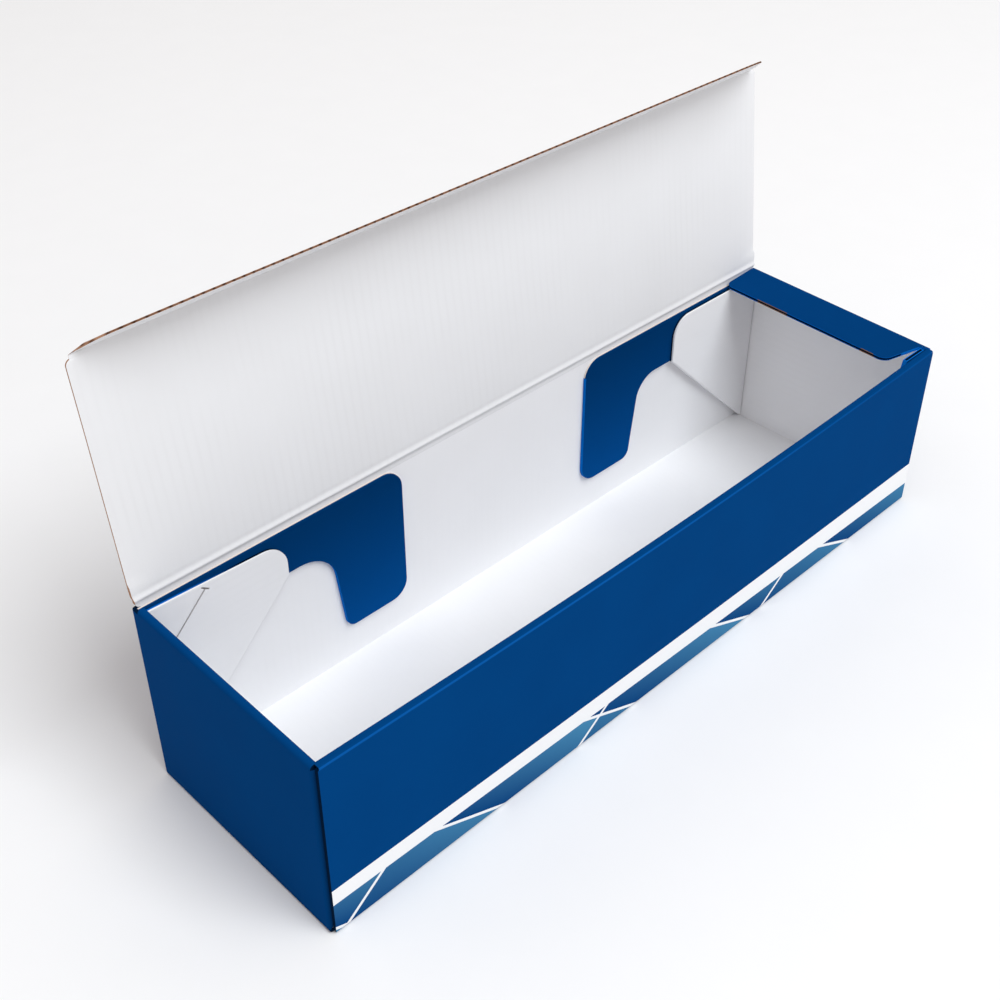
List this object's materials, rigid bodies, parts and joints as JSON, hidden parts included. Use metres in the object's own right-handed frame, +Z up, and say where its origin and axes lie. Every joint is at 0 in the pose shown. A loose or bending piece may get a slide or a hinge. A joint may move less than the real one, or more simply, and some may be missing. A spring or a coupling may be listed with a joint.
{
  "type": "wine gift box",
  "caption": "Long folded card box for a wine bottle, with a hinged lid that has a tuck flap, end flaps and web-gusset corners with hanging arms.",
  "frame": {"origin": "centre of the floor's underside", "axes": "+X along the box to the end with the level flap, +Y to the hinge wall, +Z up"},
  "size_m": [0.35, 0.1136, 0.1962],
  "materials": {
    "printed_board": "satin printed outside, white liner inside"
  },
  "bodies": {
    "tray": {"tray": "printed_board"},
    "lid": {"lid": "printed_board"},
    "tuck_flap": {"tuck_flap": "printed_board"},
    "right_end_flap": {"right_end_flap": "printed_board"},
    "left_end_flap": {"left_end_flap": "printed_board"}
  },
  "joints": [
    {"name": "lid_hinge", "type": "hinge", "parent": "tray", "child": "lid", "pos_m": [0, 0.0502, 0.0878], "axis": [-1, 0, 0], "range_deg": [-98.8, 83]},
    {"name": "tuck_fold", "type": "hinge", "parent": "lid", "child": "tuck_flap", "pos_m": [0, 0.06184, 0.18259], "axis": [1, 0, 0], "range_deg": [-33.7, 40.1]},
    {"name": "right_flap_fold", "type": "hinge", "parent": "tray", "child": "right_end_flap", "pos_m": [0.17335, 0, 0.08315], "axis": [0, 0.9997, 0.0245], "range_deg": [-88, 90]},
    {"name": "left_flap_fold", "type": "hinge", "parent": "tray", "child": "left_end_flap", "pos_m": [-0.17335, 0, 0.08315], "axis": [0, -0.9997, -0.0245], "range_deg": [0, 179]}
  ],
  "couplings": [
    {"joint": "tuck_fold", "follows": "lid_hinge", "ratio": -0.405}
  ]
}
